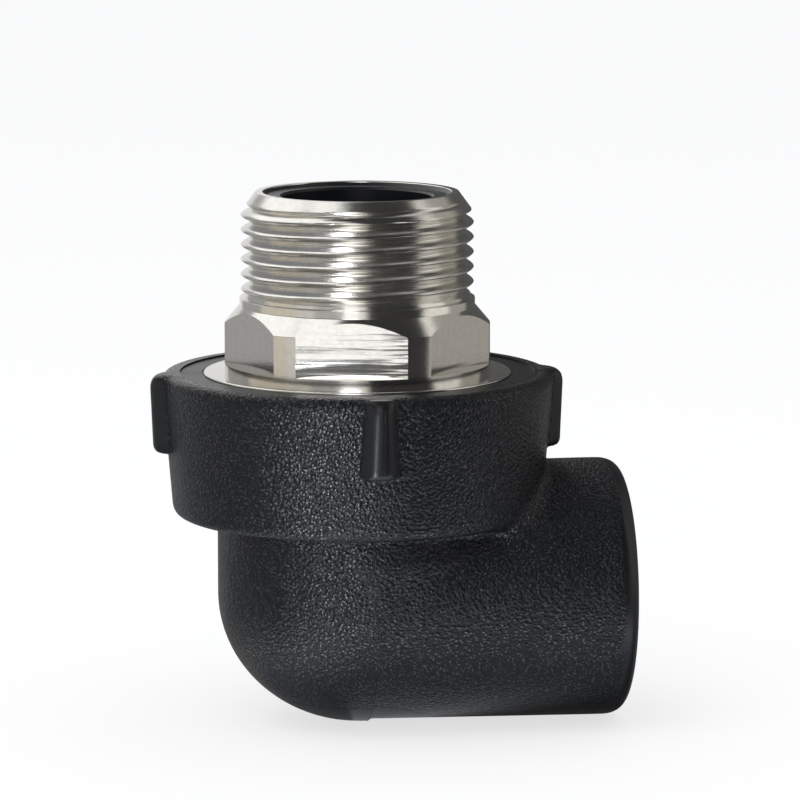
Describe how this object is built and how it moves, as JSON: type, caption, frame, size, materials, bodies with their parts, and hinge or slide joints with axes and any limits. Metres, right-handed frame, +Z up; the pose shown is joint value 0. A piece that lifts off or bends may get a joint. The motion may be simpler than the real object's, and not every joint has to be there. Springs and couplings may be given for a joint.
{
  "type": "male threaded pipe elbow",
  "caption": "Moulded black plastic pipe elbow: a horizontal socket for a plain pipe end and a lugged collar that holds an upright metal insert with a hexagon and a male thread.",
  "frame": {"origin": "centre of the pipe stop at the bottom of the pipe socket, on the socket's centre line", "axes": "+X along the pipe socket and out of its mouth, +Z up, the way the male thread points, +Y away from the viewer of the picture"},
  "size_m": [0.0681, 0.0596, 0.0766],
  "materials": {
    "hdpe_black": "moulded, fine pebbled grain",
    "nickel_plated_brass": "turned and milled, then nickel plated",
    "seal_rubber": "smooth"
  },
  "bodies": {
    "root": {"elbow_body": "hdpe_black", "threaded_insert": "nickel_plated_brass", "seal_ring": "seal_rubber"}
  },
  "joints": []
}
